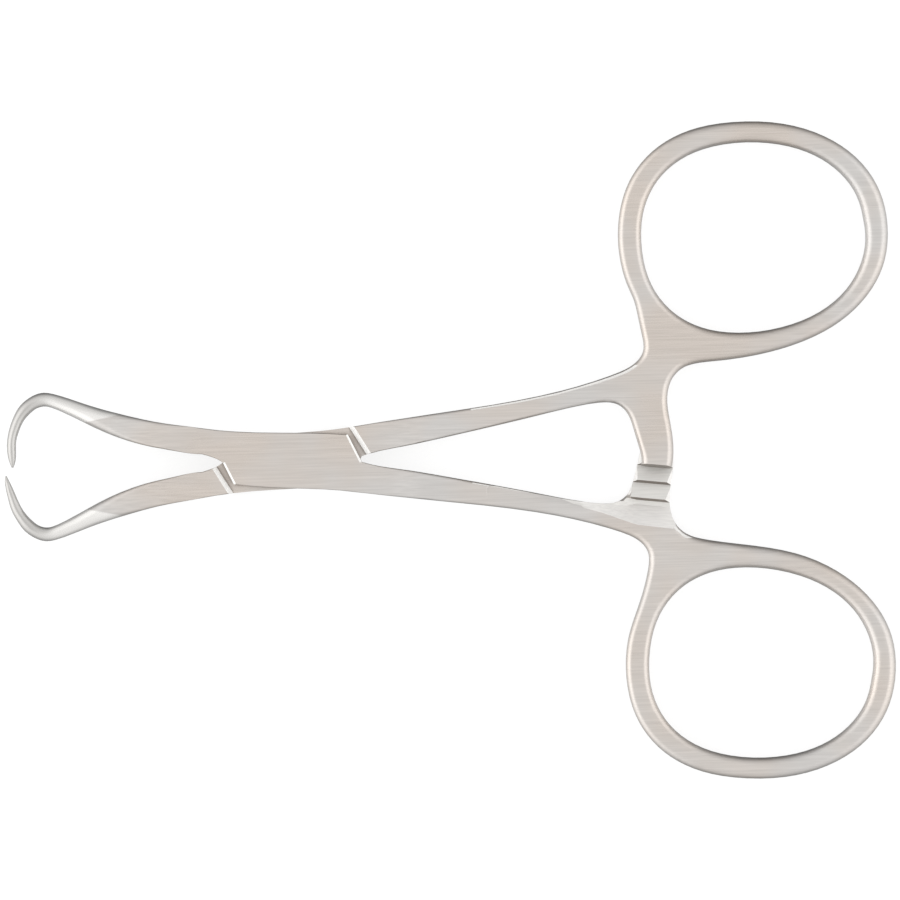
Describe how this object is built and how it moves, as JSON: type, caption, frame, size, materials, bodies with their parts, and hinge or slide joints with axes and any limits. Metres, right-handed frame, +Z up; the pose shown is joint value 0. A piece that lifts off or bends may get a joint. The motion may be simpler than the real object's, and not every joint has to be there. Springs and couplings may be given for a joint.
{
  "type": "towel clamp",
  "caption": "Small steel towel clamp with sharp curved jaws, a box lock joint, a stepped ratchet between the shanks and oval finger rings.",
  "frame": {"origin": "on the pivot's axis, in the plane of the box lock's underside", "axes": "+X from the pivot towards the finger rings, +Y towards the male half's ring, +Z up through the pivot"},
  "size_m": [0.0888, 0.0657, 0.0036],
  "materials": {
    "satin_steel": "satin"
  },
  "bodies": {
    "female": {"female_half": "satin_steel", "box_lock_pin": "satin_steel"},
    "male": {"male_half": "satin_steel"}
  },
  "joints": [
    {"name": "box_lock_hinge", "type": "hinge", "parent": "female", "child": "male", "pos_m": [0, 0, 0], "axis": [0, 0, 1], "range_deg": [-1.2, 80]}
  ]
}
